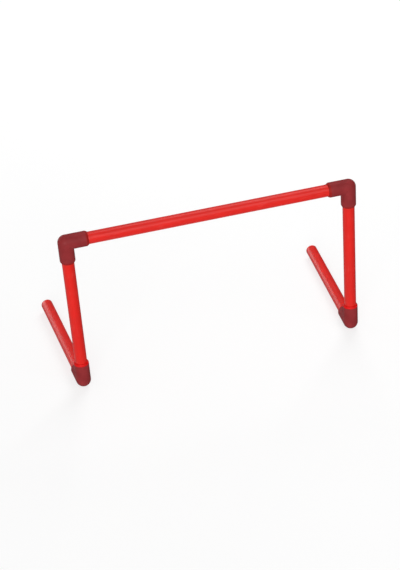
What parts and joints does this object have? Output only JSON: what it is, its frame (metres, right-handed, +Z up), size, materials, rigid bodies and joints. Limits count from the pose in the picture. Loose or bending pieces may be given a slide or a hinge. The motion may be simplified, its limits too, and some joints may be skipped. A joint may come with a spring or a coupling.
{
  "type": "speed hurdle",
  "caption": "Low speed hurdle of round plastic tube: a crossbar on uprights with feet running back, held in push-fit elbows that swivel for folding and pull apart.",
  "frame": {"origin": "on the floor, at the centre of the footprint", "axes": "+X along the crossbar, +Y back along the feet, +Z up"},
  "size_m": [0.5524, 0.2764, 0.3076],
  "materials": {
    "red_tube": "satin",
    "maroon_elbow": "matte"
  },
  "bodies": {
    "crossbar": {"crossbar_tube": "red_tube"},
    "left_top_elbow": {"left_top_elbow": "maroon_elbow"},
    "left_upright": {"left_upright_tube": "red_tube"},
    "left_lower_elbow": {"left_lower_elbow": "maroon_elbow"},
    "left_foot": {"left_foot_tube": "red_tube"},
    "right_top_elbow": {"right_top_elbow": "maroon_elbow"},
    "right_upright": {"right_upright_tube": "red_tube"},
    "right_lower_elbow": {"right_lower_elbow": "maroon_elbow"},
    "right_foot": {"right_foot_tube": "red_tube"}
  },
  "joints": [
    {"name": "left_leg_swivel", "type": "hinge", "parent": "crossbar", "child": "left_top_elbow", "pos_m": [-0.25, -0.12492, 0.2943], "axis": [1, 0, 0], "continuous": true},
    {"name": "left_upright_pull", "type": "slide", "parent": "left_top_elbow", "child": "left_upright", "axis": [0, 0, -1], "range_m": [0, 0.02]},
    {"name": "left_foot_swivel", "type": "hinge", "parent": "left_upright", "child": "left_lower_elbow", "pos_m": [-0.25, -0.12492, 0.0133], "axis": [0, 0, 1], "continuous": true},
    {"name": "left_foot_pull", "type": "slide", "parent": "left_lower_elbow", "child": "left_foot", "axis": [-0.0593, 0.9982, 0], "range_m": [0, 0.02]},
    {"name": "right_leg_swivel", "type": "hinge", "parent": "crossbar", "child": "right_top_elbow", "pos_m": [0.25, -0.12492, 0.2943], "axis": [1, 0, 0], "continuous": true},
    {"name": "right_upright_pull", "type": "slide", "parent": "right_top_elbow", "child": "right_upright", "axis": [0, 0, -1], "range_m": [0, 0.02]},
    {"name": "right_foot_swivel", "type": "hinge", "parent": "right_upright", "child": "right_lower_elbow", "pos_m": [0.25, -0.12492, 0.0133], "axis": [0, 0, -1], "continuous": true},
    {"name": "right_foot_pull", "type": "slide", "parent": "right_lower_elbow", "child": "right_foot", "axis": [0.0593, 0.9982, 0], "range_m": [0, 0.02]}
  ]
}
